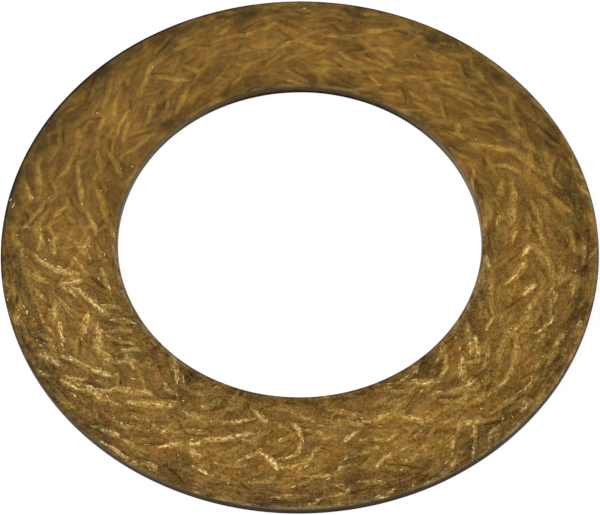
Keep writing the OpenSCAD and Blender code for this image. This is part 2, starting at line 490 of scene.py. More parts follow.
laid_or_beside = together(laid, turns_beside(upper_hollows, np.random.default_rng(11)))
clear_ones = set_out(330, half_length=(3.0, 6.5), half_width=(0.90, 1.5), tone=(0.45, 0.80), seed=12,
                     keep_clear_of=laid_or_beside)
dull_ones = set_out(420, half_length=(3.0, 6.5), half_width=(0.85, 1.5), tone=(0.0, 0.35), seed=17,
                    keep_clear_of=together(laid_or_beside, clear_ones))
upper_strands = together(laid_or_beside, together(clear_ones, dull_ones))
lower_beside = turns_beside(lower_hollows, np.random.default_rng(16))
lower_ones = set_out(420, half_length=(4.0, 8.0), half_width=(0.95, 1.4), tone=(0.1, 0.9), seed=14,
                     keep_clear_of=lower_beside)
lower_strands = together(lower_beside, lower_ones)
buried_sizes = {"half_length": (5.0, 11.0), "half_width": (1.0, 1.7), "tone": (0.0, 1.0)}
upper_turns, lower_turns = set_out(900, **buried_sizes, seed=13), set_out(900, **buried_sizes, seed=15)
upper_open, lower_open = stamp(upper_r, upper_strands), stamp(lower_r, lower_strands)
upper_buried, lower_buried = stamp(upper_r, upper_turns), stamp(lower_r, lower_turns)
upper_hollow, lower_hollow = stamp(upper_r, upper_hollows), stamp(lower_r, lower_hollows)
covered = (upper_open["height"] > 0).mean()
print(f"{len(upper_strands['x'])} open strands cover {covered:.0%} of the upper face")

# %% [markdown]
# Relief
#
# The face was ground flat, so the open strands all end at one height. The resin between them stands a few
# hundredths of a millimetre lower, with the buried turns as soft ridges in it, and the hollows go down to
# their full depth. The ground face itself is kept low enough for the bits of wire, made further down, to
# stand out of it. The relief fades out at the edges, so that they stay crisp. On the walls the turns of yarn
# lie one on the other and leave faint ridges that run round the ring.

# %% Raise the relief
resin_drop, buried_ridge, wall_ridge = 0.06, 0.02, 0.03
wire_stands_out = 0.015
edge_fade_width = 0.8
wall_turn_height, wall_turn_length = 9 / 14, 9 / 0.35


def all_rows(upper, lower, name, on_walls):
    """One field over the whole profile: the upper face's, the lower face's, and one value on both walls."""
    wall = np.full((wall_rows, columns), on_walls)
    return np.concatenate([upper[name], wall, lower[name], wall])


open_height = all_rows(upper_open, lower_open, "height", -1.0)
buried_height = all_rows(upper_buried, lower_buried, "height", -1.0)
hollow_height = all_rows(upper_hollow, lower_hollow, "height", -1.0)
drop = resin_drop * (1 - smooth_step(-0.35, 0.25, open_height))
drop = drop + buried_ridge * (1 - smooth_step(-0.5, 0.8, buried_height))
sunk = smooth_step(-0.3, 0.3, hollow_height) * (1 - smooth_step(0.0, 0.4, open_height))
drop = drop + (hollow_depth - drop) * sunk
drop = np.maximum(drop, wire_stands_out)
from_edge = np.minimum(profile_r - face_low, face_high - profile_r)[:, None]
drop = drop * smooth_step(0.0, edge_fade_width, from_edge) * (1 - is_wall[:, None])

round_wall = column_angle[None, :] * outer_r / wall_turn_length
wall_turns = ripple(profile_z[:, None] / wall_turn_height, round_wall, 1, 31)
wall_drop = wall_ridge * smooth_step(-1.5, 1.5, wall_turns) * is_wall[:, None]

radius = profile_r[:, None] - by_part(0, 1, 0, -1)[:, None] * wall_drop
height = profile_z[:, None] - by_part(1, 0, -1, 0)[:, None] * drop
ring_points = np.stack([radius * np.cos(column_angle), radius * np.sin(column_angle), height], axis=-1)
print(f"relief {drop.max():.3f} mm on the faces, {wall_drop.max():.3f} mm on the walls")

# %% [markdown]
# From arrays to a mesh
#
# foreach_set copies a whole array into the mesh at once. Each square of the grid takes its corners in the
# order that turns anticlockwise when seen from outside, so that the faces point outwards.

# %% Build the mesh
def add_to_scene(name, data):
    """An object at the origin, unturned, that holds a mesh, a lamp or a camera."""
    thing = bpy.data.objects.new(name, data)
    bpy.context.scene.collection.objects.link(thing)
    return thing


def closed_grid(name, points):
    """A mesh from a grid of points that closes on itself both ways."""
    row_count, column_count = points.shape[:2]
    index = np.arange(row_count * column_count).reshape(row_count, column_count)
    next_row, next_column = np.roll(index, -1, 0), np.roll(index, -1, 1)
    corners = np.stack([index, next_row, np.roll(next_row, -1, 1), next_column], axis=-1).reshape(-1, 4)
    mesh = bpy.data.meshes.new(name)
    mesh.vertices.add(index.size)
    mesh.vertices.foreach_set("co", (points * MM).astype(np.float32).ravel())
    mesh.loops.add(corners.size)
    mesh.loops.foreach_set("vertex_index", corners.astype(np.int32).ravel())
    mesh.polygons.add(len(corners))
    mesh.polygons.foreach_set("loop_start", np.arange(0, corners.size, 4, dtype=np.int32))
    mesh.polygons.foreach_set("use_smooth", np.ones(len(corners), dtype=bool))
    mesh.update(calc_edges=True)
    mesh.validate()
    return add_to_scene(name, mesh)


ring = closed_grid("wound_yarn_ring", ring_points)
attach(ring, "root")
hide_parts("friction_ring")
print(f"{len(ring.data.vertices)} points, {len(ring.data.polygons)} squares")

# %% [markdown]
# The material needs to know about the strands too: where they are, where a point is across and along them,
# and how pale they are. So the fields are kept on the mesh's points, three in each vector attribute.

# %% Keep the fields for the material
def store(piece, name, *fields):
    """Keeps three fields on the mesh's points as one vector attribute, for the material to read."""
    values = np.stack([np.broadcast_to(field, ring_points.shape[:2]) for field in fields], axis=-1)
    attribute = piece.data.attributes.new(name, "FLOAT_VECTOR", "POINT")
    attribute.data.foreach_set("vector", values.astype(np.float32).ravel())


for name, height, upper, lower in (("open_strand", open_height, upper_open, lower_open),
                                   ("buried_strand", buried_height, upper_buried, lower_buried)):
    store(ring, name, height, all_rows(upper, lower, "across", 0.0), all_rows(upper, lower, "along", 0.0))
store(ring, "tones", all_rows(upper_open, lower_open, "tone", 0.5),
      all_rows(upper_buried, lower_buried, "tone", 0.5), all_rows(upper_open, lower_open, "end", 0.0))
store(ring, "place", is_wall[:, None], profile_z[:, None] / thickness, profile_r[:, None])
store(ring, "turn", np.sin(column_angle), np.cos(column_angle), hollow_height)
print("kept", [kept.name for kept in ring.data.attributes if kept.data_type == "FLOAT_VECTOR"])

# %% [markdown]
# Writing a material as sums
#
# A material is a sheet of nodes, but its maths reads best as plain sums. A Wire stands for one output of a
# node and knows how to be added and multiplied, by adding the Math nodes that do it.

# %% Wires
class Wire:
    """A node's output. Sums with other wires or numbers add the Math nodes that work them out."""

    def __init__(self, finish, socket):
        self.finish, self.socket = finish, socket

    def maths(self, operation, *values):
        """A Math node on wires or numbers."""
        return self.finish.node("ShaderNodeMath", {"operation": operation}, dict(enumerate(values)))

    def __add__(self, other):
        return self.maths("ADD", self, other)

    def __sub__(self, other):
        return self.maths("SUBTRACT", self, other)

    def __rsub__(self, other):
        return self.maths("SUBTRACT", other, self)

    def __mul__(self, other):
        return self.maths("MULTIPLY", self, other)

    def __abs__(self):
        return self.maths("ABSOLUTE", self)

    def sign(self):
        return self.maths("SIGN", self)

    def smaller(self, other):
        return self.maths("MINIMUM", self, other)

    def larger(self, other):
        return self.maths("MAXIMUM", self, other)

    __radd__, __rmul__ = __add__, __mul__


# %% [markdown]
# A Finish holds the nodes of one material, or of the world. Its first method adds a node of any kind. The
# others are short ways to the nodes that are used again and again.

# %% Finishes
class Finish:
    """The nodes of a material, or of the world, in the making."""

    def __init__(self, owner):
        owner.use_nodes = True
        self.owner, self.tree = owner, owner.node_tree
        self.tree.nodes.clear()

    def node(self, kind, settings=None, inputs=None, output=0):
        """Adds a node: its settings first, then each input by name or number, linked if it is a Wire."""
        added = self.tree.nodes.new(kind)
        for name, value in (settings or {}).items():
            setattr(added, name, value)
        for name, value in (inputs or {}).items():
            if isinstance(value, Wire):
                self.tree.links.new(value.socket, added.inputs[name])
            else:
                added.inputs[name].default_value = value
        return None if output is None else Wire(self, added.outputs[output])

    def vector_maths(self, operation, first, second, output="Vector"):
        """A Vector Math node on wires or triples of numbers."""
        return self.node("ShaderNodeVectorMath", {"operation": operation}, {0: first, 1: second}, output)

    def vector(self, x, y, z):
        """Three numbers as one vector."""
        return self.node("ShaderNodeCombineXYZ", None, {0: x, 1: y, 2: z})

    def between(self, value, low, high):
        """Goes smoothly from 0, where value is low, to 1, where it is high; low may be the greater one."""
        return self.node("ShaderNodeMapRange", {"interpolation_type": "SMOOTHSTEP"},
                         {"Value": value, "From Min": low, "From Max": high})

    def blend(self, factor, first, second, blend_type="MIX"):
        """Mixes two colours."""
        return self.node("ShaderNodeMix", {"data_type": "RGBA", "blend_type": blend_type},
                         {0: factor, 6: first, 7: second}, output=2)

    def position(self):
        """Object coordinates in mm."""
        metres = self.node("ShaderNodeTexCoord", output="Object")
        return self.vector_maths("MULTIPLY", metres, (1 / MM, 1 / MM, 1 / MM))

    def noise(self, where, size, detail, shift=0):
        """Noise from about -1 to 1 with features of about that size, where the place is in mm. A shift takes
        it from another part of the same noise."""
        where = self.vector_maths("ADD", where, (shift, shift, 0)) if shift else where
        raw = self.node("ShaderNodeTexNoise", None,
                        {"Vector": where, "Scale": 1 / size, "Detail": detail, "Roughness": 0.55})
        return (raw - 0.5) * 3.6

    def drawn_out(self, x, y, z, detail=1):
        """Noise over three fields of one's own, each multiplied by how fast it is to change along it."""
        return self.noise(self.vector(x, y, z), 1.0, detail)

    def attribute(self, name):
        """The three fields of a vector attribute, as three wires."""
        vector = self.node("ShaderNodeAttribute", {"attribute_name": name}, output="Vector")
        parts = self.node("ShaderNodeSeparateXYZ", None, {0: vector}).socket.node.outputs
        return [Wire(self, part) for part in parts]

    def surface(self, base_colour, roughness, relief, strength, depth, others=None):
        """A Principled shader whose bumps are up to depth mm high."""
        bumps = self.node("ShaderNodeBump", None,
                          {"Strength": strength, "Distance": depth * MM, "Height": relief})
        return self.node("ShaderNodeBsdfPrincipled", None, {
            "Base Color": base_colour, "Roughness": roughness, "Normal": bumps, **(others or {})})

    def wear(self, shader, *pieces):
        """Ends the material in this shader and puts it on the pieces."""
        self.node("ShaderNodeOutputMaterial", None, {"Surface": shader}, output=None)
        for piece in pieces:
            piece.data.materials.append(self.owner)
        self.tell("finished")

    def tell(self, step):
        """Prints how many nodes there are after a step."""
        print(f"{self.owner.name}, {step}: {len(self.tree.nodes)} nodes")


# %% [markdown]
# The wound yarn
#
# The real face is a mixture of yarn, brass wire and crumbly resin, and what the eye sees first is how light
# or dark each spot is. A painted picture would blur close up and fit one face only. So the finish works out
# masks from 0 to 1 that say where each thing is, adds up one brightness from them, and only then picks the
# colours. It starts from the fields that the mesh keeps, and from noise: five sizes of it over the place,
# from clouds down to dust, and some that is drawn out along the strands into fibres, or round the ring into
# the yarn's outermost turns.

# %% Read the fields and add noise
yarn = Finish(bpy.data.materials.new("wound_yarn"))
place = yarn.position()
open_up, open_across, open_along = yarn.attribute("open_strand")
buried_up, buried_across, buried_along = yarn.attribute("buried_strand")
open_tone, buried_tone, open_end = yarn.attribute("tones")
wall, up_the_wall, ring_radius = yarn.attribute("place")
turn_sine, turn_cosine, hollow_down = yarn.attribute("turn")

cloud, patches, mottle, grain, dust = (yarn.noise(place, size, 1) for size in (13, 5.5, 2.6, 1.1, 0.5))
open_fibres = yarn.drawn_out(open_across * 1.7, open_along * 0.45, open_tone * 97)
buried_fibres = yarn.drawn_out(buried_across * 1.6, buried_along * 0.45, buried_tone * 97)
hairs = yarn.drawn_out(open_across * 2.5, open_along * 0.30, open_tone * 53)
round_the_ring = yarn.drawn_out(ring_radius * 1.3, turn_sine * 20, turn_cosine * 20, detail=2)
yarn.tell("fields and noise")

# %% [markdown]
# Sides and rims
#
# The ring isn't even all round. In its near half the fibres, crumbs and painted glints stand out sharply, and
# in its far half the resin lies smoother over them. Towards both rims the yarn runs along the circle and the
# face is darker.
# The sine and cosine of the angle round the ring say where a point is: the sine is 1 at the far side, and the
# cosine is 1 at the right.

# %% Where on the ring
def towards(degrees):
    """Cosine of the angle between a point and that side of the ring: 1 there and 0 a quarter turn away."""
    return turn_cosine * np.cos(np.radians(degrees)) + turn_sine * np.sin(np.radians(degrees))


front, painted_shade_at_back = yarn.between(turn_sine, -0.55, -0.85), yarn.between(turn_sine, -0.2, 0.9)
right, left = yarn.between(turn_cosine, 0.5, 0.85), yarn.between(towards(145), 0.65, 0.95)
back_right = yarn.between(towards(40), 0.85, 0.97)
smoother_right = yarn.between(turn_cosine, 0.5, 0.9) * yarn.between(turn_sine, -0.15, 0.15)
clearer = yarn.between(turn_sine - smoother_right * 0.25, 0.4, -0.4)

to_outside, to_bore = outer_r - ring_radius, ring_radius - bore_r
outer_rim, bore_rim = yarn.between(to_outside, 13, 3), yarn.between(to_bore, 8, 1)
mid_width = (1 - outer_rim) * (1 - bore_rim)
yarn.tell("sides and rims")

# %% [markdown]
# Strands, buried turns and hollows
#
# An open strand is where its height comes through the resin. Its outline is frayed by its own fibres, and
# less so on a pale strand, which was cut deeper. A buried turn shows only between the open ones. One flank of
# a strand is brightened by a painted highlight, and a painted shade lies beside the other. On dull strands
# the two flanks change places. Pale specks lie mostly on pale strands: crumbs of cut fibre, and painted
# glints that take in part of the painted highlight. Dark specks between the fibres of the buried turns are
# painted shade, as of small pits.

# %% Masks of the strands
frayed = (open_fibres * 0.20 + mottle * 0.13 + grain * 0.06) * (1.15 - open_tone * 0.65)
ragged = open_up + frayed * (clearer * 0.35 + 0.65)
strand = yarn.between(ragged + open_tone * 0.2, -0.2, 0.95) * (clearer * 0.3 + 0.7)
resin = 1 - strand
buried = yarn.between(buried_up + mottle * 0.25, -0.4, 0.5) * (1 - strand * 0.7)
hollow = yarn.between(hollow_down + mottle * 0.25 + grain * 0.25, -0.3, 0.5) * resin

# Painted highlight on one flank of each strand, and a painted shade line beside the other flank.
to_light = open_across * (open_tone - 0.3).sign()
lit_side = yarn.between(to_light, -0.65, 0.0) * yarn.between(to_light, 0.85, 0.3)
lit_side = strand * lit_side * yarn.between(open_fibres + grain * 0.6, -0.9, 0.5) * (clearer * 0.7 + 0.3)
painted_shade_beside = yarn.between(open_up, -0.9, -0.2) * yarn.between(open_up, 0.1, -0.2)
painted_shade_beside = painted_shade_beside * yarn.between(to_light, 0.6, -0.2) * (clearer * 0.35 + 0.65)

# Pale specks: crumbs of cut fibre, and painted glints that take in part of the painted highlight.
crumbs_and_painted_glints = hairs * 0.82 + dust * 0.16 + grain * 0.28 + strand * open_tone * 0.60 + lit_side * 0.25
crumbs_and_painted_glints = yarn.between(crumbs_and_painted_glints + open_end * strand * 0.1, 0.80, 1.45) * (clearer * 0.78 + 0.22)
# Dark specks painted as the shade in small pits.
painted_shade_specks = yarn.between(buried_fibres * 0.8 + grain * 0.6 - strand, -0.75, -1.5) * (clearer * 0.7 + 0.3)
yarn.tell("masks of the strands")

# %% [markdown]
# The slow part of the brightness
#
# The brightness is reckoned as a screen shows it, from 0 to 1, in three parts. The slow part is the resin
# with its lighter and darker clouds. It is a little lighter at the near right, as painted light, and a little
# darker at the back, most of all beside the bore, as painted shade. It also gets darker towards the outside
# and the bore, with a light band at the bore's very edge. The noise has clouds of its own, so soft round
# spots, placed one by one, make it lighter or darker where this ring is. One long dark streak follows the
# rim on the right.

# %% Add up the slow part
# The last term is painted light: a little lighter at the near right.
slow = 0.370 + cloud * 0.040 + patches * (outer_rim * 0.02 + 0.037) + mottle * 0.008 + towards(-30) * 0.016
# Its terms for the back are painted shade: a little darker at the back, most of all beside the bore.
slow = slow - outer_rim * 0.052 - bore_rim * (painted_shade_at_back * 0.035 + 0.012) - painted_shade_at_back * 0.008
slow = slow + yarn.between(to_bore, 2.4, 1.0) * 0.032 - yarn.between(to_bore, 9, 4) * 0.010
far_edge = yarn.between(turn_sine, 0.75, 1.0)
slow = slow + yarn.between(to_outside, 5, 1.5) * (far_edge * 0.035 - left * 0.032 + right * 0.026 - 0.002)
slow = slow - yarn.between(to_outside, 17, 12) * yarn.between(to_outside, 6, 10) * right * 0.018

# Each cloud: angle round the ring in degrees, radius of its middle and reach in mm, and how much lighter
placed_clouds = [
    (280, 91, 10, -0.055), (24, 88, 12, -0.055), (236, 95, 8, 0.045), (176, 68, 12, 0.018),
    (137, 69, 8, -0.055), (286, 72, 6, -0.040), (309, 65, 7, -0.050), (210, 63, 6, -0.045),
    (257, 98, 8, 0.065), (25, 63, 8, 0.090), (352, 74, 7, 0.035), (329, 87, 7, -0.030), (40, 82, 7, -0.030),
    (203, 76, 7, 0.018), (58, 63, 8, 0.060), (148, 82, 24, 0.020), (184, 82, 18, 0.014),
    (36, 99.5, 6, -0.045), (44, 99.5, 6, -0.045), (60, 97.8, 4.5, 0.045), (60, 94.8, 5, -0.055),
    (100, 98, 6, -0.040), (120, 93.3, 6, -0.045), (180, 96.8, 4, 0.040), (220, 95.3, 5, 0.045),
    (240, 91, 5, 0.040), (298, 93, 5, 0.040), (246, 66, 5, -0.050), (236, 65.3, 5, -0.050),
    (140, 67.5, 5, -0.045), (118, 63, 5, 0.060), (140, 62.3, 4, 0.045), (160, 62.3, 4, 0.045),
    (48, 88, 10, -0.020), (40, 62, 4, 0.035), (302, 64, 4, -0.050), (0, 64.6, 4, -0.045),
    (195, 66.5, 4, -0.040), (338, 62, 4, -0.040),
]
for degrees, radius, reach, lighter in placed_clouds:
    away = yarn.vector_maths("DISTANCE", place, (*on_ring(degrees, radius), thickness), output="Value")
    slow = slow + yarn.between(away + cloud * 1.5, reach, 1.0) * lighter
yarn.tell(f"{len(placed_clouds)} clouds")

# %% [markdown]
# The streak's middle line lies at a radius that shrinks from the near end to the far end, and the clouds make
# it wander. It is darkest at the near end.

# %% Add the dark streak
streak_radius, streak_lean = 94.8, 5
beyond = towards(84)
off_line = abs(ring_radius - streak_radius + beyond * streak_lean) + cloud * 0.5 + patches * 0.5
streak = yarn.between(off_line, 3.0, 0.6) * yarn.between(turn_cosine, 0.0, 0.2)
streak = streak * yarn.between(beyond, -0.56, -0.38) * yarn.between(beyond, 0.50, 0.32)
slow = slow - streak * (0.042 - beyond * 0.055)
yarn.tell("streak")

# %% [markdown]
# The golden and the fine part
#
# Strands and buried turns are golden: they add more to red and green than to blue. The fine part is added to
# red, green and blue alike, so a bright speck looks cream and not yellow. It holds the grain, the fibres, the
# pale crumbs of cut fibre with their painted glints, the dark specks of painted shade between them, the
# painted highlight and the painted shade on the strands' flanks, and the outermost turns, which run round the
# ring as thin lines.

# %% Add up the golden and the fine part
gold = strand * (open_tone * 0.088 + 0.040) + buried * (buried_tone * 0.088 - 0.026)
fine = (grain * 0.056 + dust * 0.092) * (clearer * 0.62 + 0.38) * (1 - strand * 0.35)
# Pale crumbs with painted glints are added, and dark specks of painted shade taken off.
fine = fine + mottle * 0.020 + crumbs_and_painted_glints * 0.27 - painted_shade_specks * 0.11
fine = fine + resin * buried_fibres * 0.045 * (clearer * 0.65 + 0.45) + buried * (buried_tone * 0.03 - 0.010)
fine = fine + strand * (open_tone * 0.055 + 0.005 + open_fibres * (open_tone * 0.05 + 0.03))
fine = fine + strand * open_tone * yarn.between(open_end, 0.35, 0.95) * 0.10
very_pale = open_tone * open_tone * open_tone * open_tone
# Painted highlight on one flank of the palest strands, and painted shade beside the other flank.
fine = fine + lit_side * very_pale * 0.26 - painted_shade_beside * (0.055 - open_tone * 0.03)
# The hollows are painted darker, as painted shade in them.
fine = fine - hollow * (clearer * 0.03 + 0.06)
fine = fine + (outer_rim + bore_rim) * (round_the_ring * (clearer * 0.07 + 0.03) - 0.012)
yarn.tell("golden and fine part")

# %% [markdown]
# The edges
#
# The last millimetre before each rim looks different all round. The outer edge is paler at the right, and in
# front it carries a painted highlight in patches; at the left and the back it is a dark line. The bore's
# edge is dark, most of all in front. Pale dust has settled at both edges.

# %% Add the edges
# Patches round the ring where the painted highlight on the front edges is strong or weak.
painted_highlight_patches = yarn.between(yarn.drawn_out(0.0, turn_sine * 9, turn_cosine * 9), -0.6, 0.6)
outer_edge_lines = [
    # Painted highlight along the outer edge in front, in patches, and a paler edge at the right.
    (1.5, 0.8, front * (painted_highlight_patches * 0.09 + 0.02) + right * 0.040),
    (1.3, 0.4, left * -0.15),
    (1.0, 0.3, yarn.between(turn_cosine, 0.0, -0.7) * -0.06),
    (1.1, 0.3, yarn.between(turn_sine, 0.4, 0.8) * -0.14),
]
for starts, full, lighter in outer_edge_lines:
    fine = fine + yarn.between(to_outside, starts, full) * lighter
fine = fine - yarn.between(to_bore, 3.6, 1.6) * front * 0.075
fine = fine - yarn.between(to_bore, 0.8, 0.35) * (front * 0.02 + 0.05)
rim_dust = yarn.between(to_outside.smaller(to_bore), 2.2, 0.6) + outer_rim * 0.15
bore_dust = yarn.between(to_bore, 2.6, 0.4) * (1 - left)
yarn.tell("edges")

# %% [markdown]
# From brightness to colour
#
# The slow part picks a colour from a chain that goes from dark brown over gold to cream. The golden and the
# fine part are added to it, and a Gamma node turns the sum from screen values into light.

# %% Turn brightness into colour
# Each shade: the slow brightness at which it is reached, and its red, green and blue on a screen
shades = [(0.16, (45, 32, 14)), (0.31, (99.5, 75.2, 32.5)), (0.39, (127, 94.2, 41)),
          (0.485, (161, 118.7, 53.5)), (0.65, (210, 162, 90))]
darkest = (0.05, 0.04, 0.03)


def share_of_screen(levels):
    """Screen levels from 0 to 255 as a colour from 0 to 1, not yet turned into light."""
    return (*(level / 255 for level in levels), 1.0)


on_screen = share_of_screen(shades[0][1])
for (darker_at, _), (lighter_at, lighter) in zip(shades, shades[1:]):
    step = {"Value": slow, "From Min": darker_at, "From Max": lighter_at}
    step = yarn.node("ShaderNodeMapRange", None, step)
    on_screen = yarn.blend(step, on_screen, share_of_screen(lighter))
added = yarn.vector(fine + gold * 1.05,
                    fine + gold * 0.96 + rim_dust * 0.02,
                    fine + gold * 0.48 + rim_dust * 0.04 + bore_dust * 0.05)
on_screen = yarn.vector_maths("MAXIMUM", yarn.vector_maths("ADD", on_screen, added), darkest)
face = yarn.node("ShaderNodeGamma", None, {"Color": on_screen, "Gamma": 2.2})
yarn.tell(f"{len(shades)} shades")

# %% [markdown]
# Tints
#
# The resin wanders between orange, purple and olive, and each strand leans a little to red or to yellow. Some
# sides of the ring have a tint too. The far half is warmer, its strands are more golden and its left rim more
# yellow. Both rims in front and the outer rim at the back right are greyer. Each tint multiplies the colour
# where its mask is 1.

# %% Tint the colour
drift = yarn.noise(place, 20, 0, shift=35) * 0.3
orange = yarn.between(yarn.noise(place, 4, 1, shift=70) + drift - strand * 0.6, -0.2, 1.4)
purple = yarn.between(yarn.noise(place, 3, 1, shift=140) - drift - strand * 0.9, -0.2, 1.2)
olive = yarn.between(yarn.noise(place, 3, 1, shift=210), -0.2, 1.4)
own_hue = strand * yarn.drawn_out(open_tone * 61, 3.0, 7.0, detail=0)
near_bore_in_front = yarn.between(to_bore, 5, 2) * yarn.between(turn_sine, 0.1, -0.3)
tints = [
    (orange, (1.15, 0.94, 0.90)),
    (purple, (1.06, 0.95, 1.36)),
    (olive, (0.91, 1.00, 0.78)),
    (mid_width * (1 - clearer * 0.85), (1.03, 1.00, 0.93)),
    (left * outer_rim, (1.00, 1.00, 0.80)),
    (strand * (1 - clearer), (1.05, 1.00, 0.78)),
    ((front * 0.8 + back_right) * outer_rim, (0.98, 0.99, 1.14)),
    (near_bore_in_front, (0.94, 1.02, 1.12)),
    (yarn.between(own_hue, 0.1, 0.9) * 0.4, (1.08, 0.96, 0.92)),
    (yarn.between(own_hue, 0.0, -0.8) * 0.6, (1.03, 1.00, 0.78)),
]
for where, tint in tints:
    face = yarn.blend(where, face, (*tint, 1), "MULTIPLY")
yarn.tell(f"{len(tints)} tints")

# %% [markdown]
# Roughness and bumps
#
# The mesh holds the strands' relief. The bump map adds what is finer: fibres, grain and the soft shoulders of
# the strands, up to about a tenth of a millimetre. The ground face is matt, and open fibres are mattest.

# %% Shade the ground face
roughness = 0.62 + strand * 0.10 + grain * 0.05
relief = yarn.between(ragged, -0.6, 0.6) * 1.4 + buried * 0.5 - hollow * 0.5
relief = relief + strand * open_fibres * 0.25 + buried_fibres * 0.15
relief = (relief + mottle * 0.5 + grain * 0.4 + dust * 0.3) * (clearer * 0.45 + 0.35)
ground_face = yarn.surface(face, roughness, relief, strength=0.8, depth=0.12,
                           others={"Specular IOR Level": 0.12})
yarn.tell("ground face")

# %% [markdown]
# The walls
#
# The walls were never ground. They keep the smooth, nearly black resin of the mould, and are a little lighter
# in their upper half; their darker lower half is partly a painted shadow where the ring meets the floor.
# Turns of yarn that lie against the mould show through as paler lines, and grains of resin as dark ones.
# The bore's wall is painted paler on its left and right, as painted light from the sides. The outer broken
# edge is a little paler all round, and in front much paler in patches, as a painted highlight. Noise that is
# drawn out round the ring makes the marks follow the winding.

# %% Colour the walls
wall_streaks = yarn.drawn_out(up_the_wall * 5, turn_sine * 40, turn_cosine * 40, detail=2)
wall_shade = yarn.between(wall_streaks, -1, 1)
turns_on_wall = yarn.drawn_out(up_the_wall * 6, turn_sine * 18, turn_cosine * 18, detail=2)
wall_grain = yarn.noise(place, 0.4, 2)
in_bore = yarn.between(ring_radius, bore_r + 2, bore_r + 1)
# The darker lower half of each wall is partly painted shadow where the ring meets the floor.
upper_half = yarn.between(up_the_wall + wall_shade * 0.3, 0.3, 1.0)
broken_edge = yarn.between(wall, 0.02, 0.3) * yarn.between(wall, 0.98, 0.5)
# Painted light on the bore's wall from the left and from the right.
painted_side_light = in_bore * (yarn.between(turn_cosine, -0.25, -0.85) + yarn.between(turn_cosine, 0.5, 0.95) * 0.65)


def colour(red, green, blue):
    """A colour read as it looks on a screen, from 0 to 255, as the linear values that Blender works in."""
    screen = np.array([red, green, blue]) / 255
    linear = np.where(screen <= 0.04045, screen / 12.92, ((screen + 0.055) / 1.055) ** 2.4)
    return (*linear.tolist(), 1.0)


upper_colour = yarn.blend(in_bore, colour(74, 58, 35), colour(98, 78, 47))
wall_colour = yarn.blend(upper_half, colour(19, 14, 8), upper_colour)
painted_side_light_colour = yarn.blend(upper_half, colour(110, 97, 80), colour(136, 116, 88))
coats = [
    (yarn.between(turns_on_wall + wall_grain * 0.6, 0.1, 1.5) * 0.45, colour(104, 82, 48)),
    (yarn.between(wall_grain - turns_on_wall * 0.4, 0.2, 1.2) * 0.6, colour(14, 10, 6)),
    (painted_side_light, painted_side_light_colour),
    # Painted highlight on the outer broken edge in front, in patches; a little paler all round.
    (broken_edge * (front * (painted_highlight_patches * 0.6 + 0.3) + 0.1) * (1 - in_bore * 0.8), colour(150, 128, 86)),
]
for where, coat in coats:
    wall_colour = yarn.blend(where, wall_colour, coat)
yarn.tell("colour of the walls")

# %% [markdown]
# One material serves the whole ring, and the attribute that is 1 on the walls mixes the two shaders. The
# walls are smoother than the faces, because they keep the skin of the mould.

# %% Join the face and the walls
wall_roughness = wall_shade * 0.12 + wall_grain * 0.04 + 0.26
wall_relief = turns_on_wall * 0.6 + wall_grain * 0.4
smooth_wall = yarn.surface(wall_colour, wall_roughness, wall_relief, strength=0.7, depth=0.06,
                           others={"Specular IOR Level": 0.02})
is_on_wall = yarn.between(wall, 0.0, 0.4)
yarn.wear(yarn.node("ShaderNodeMixShader", None, {0: is_on_wall, 1: ground_face, 2: smooth_wall}), ring)

# %% [markdown]
# Bits of brass wire
#
# A brass wire runs along in the yarn. Where grinding cut it, a short bit lies bare and shines. Specks in the
# material would be as flat as the face, and small shapes of their own catch the light from every side. Each
# bit is a flat little spindle: four rings of six points and a tip at either end. All bits of a face are one
# mesh. Most lie at the edge of a strand that has the painted highlight, and nearly all in the ring's near
# half, where the face shows its crumbs and painted glints too.

# %% Shape one bit
def spindle():
    """Points and triangles of a unit spindle along x: rings at x with radius sqrt(1 - x^2), and two tips."""
    stations, around = np.array([-0.8, -0.3, 0.3, 0.8]), 6
    ring_angle = np.arange(around) * TURN / around
    size = np.sqrt(1 - stations ** 2)
    points = np.stack([np.repeat(stations, around), np.outer(size, np.cos(ring_angle)).ravel(),
                       np.outer(size, np.sin(ring_angle)).ravel()], axis=-1)
    points = np.concatenate([points, [(-1, 0, 0), (1, 0, 0)]])
    here, there = np.arange(around), (np.arange(around) + 1) % around
    last_ring = around * (len(stations) - 1)
    squares = np.concatenate([np.stack([k + here, k + there, k + around + there, k + around + here], -1)
                              for k in range(0, last_ring, around)])
    first_tip, last_tip = np.full(around, len(points) - 2), np.full(around, len(points) - 1)
    triangles = np.concatenate([squares[:, [0, 1, 2]], squares[:, [0, 2, 3]],
                                np.stack([first_tip, there, here], -1),
                                np.stack([last_tip, last_ring + here, last_ring + there], -1)])
    return points, triangles


bit_points, bit_triangles = spindle()
print(f"one bit has {len(bit_points)} points and {len(bit_triangles)} triangles")

# %% [markdown]
# The bits' places come first. Bits anywhere on the face lie along the yarn's direction there, and bits on a
# strand lie along that strand, between its middle line and its edge with the painted highlight.

# %% Find places for the bits
wire_rim_land = 0.8


